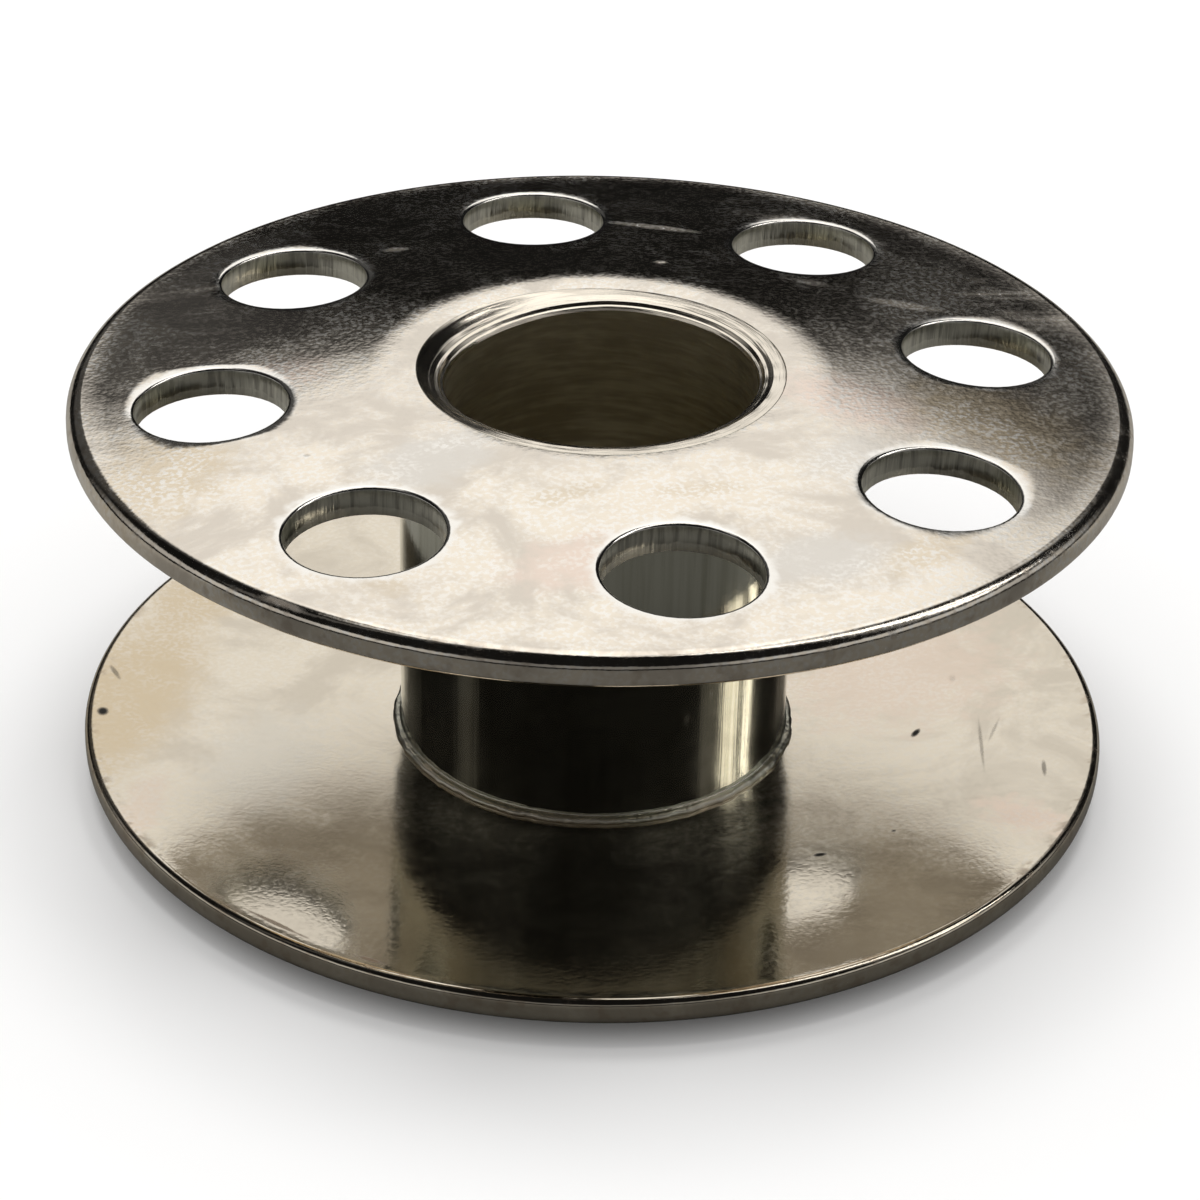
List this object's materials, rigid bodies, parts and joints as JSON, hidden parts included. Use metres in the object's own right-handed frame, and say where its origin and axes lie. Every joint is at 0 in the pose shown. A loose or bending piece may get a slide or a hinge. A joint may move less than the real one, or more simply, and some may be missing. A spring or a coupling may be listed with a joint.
{
  "type": "sewing machine bobbin",
  "caption": "Plated steel thread bobbin: a hollow hub swaged between two thin dished discs, the upper one with a ring of punched round holes.",
  "frame": {"origin": "on the bobbin's axis, in the plane of the lower disc's flat land, which it stands on", "axes": "+Z along the bore towards the disc with the holes, +X through the centre of one hole"},
  "size_m": [0.021, 0.021, 0.0087],
  "materials": {
    "hub_plate": "bright nickel plate over turned steel, faint draw lines",
    "flange_plate": "bright nickel plate over stamped steel, hazed and lightly scratched"
  },
  "bodies": {
    "root": {"hub_tube": "hub_plate", "lower_flange": "flange_plate", "upper_flange": "flange_plate"}
  },
  "joints": []
}
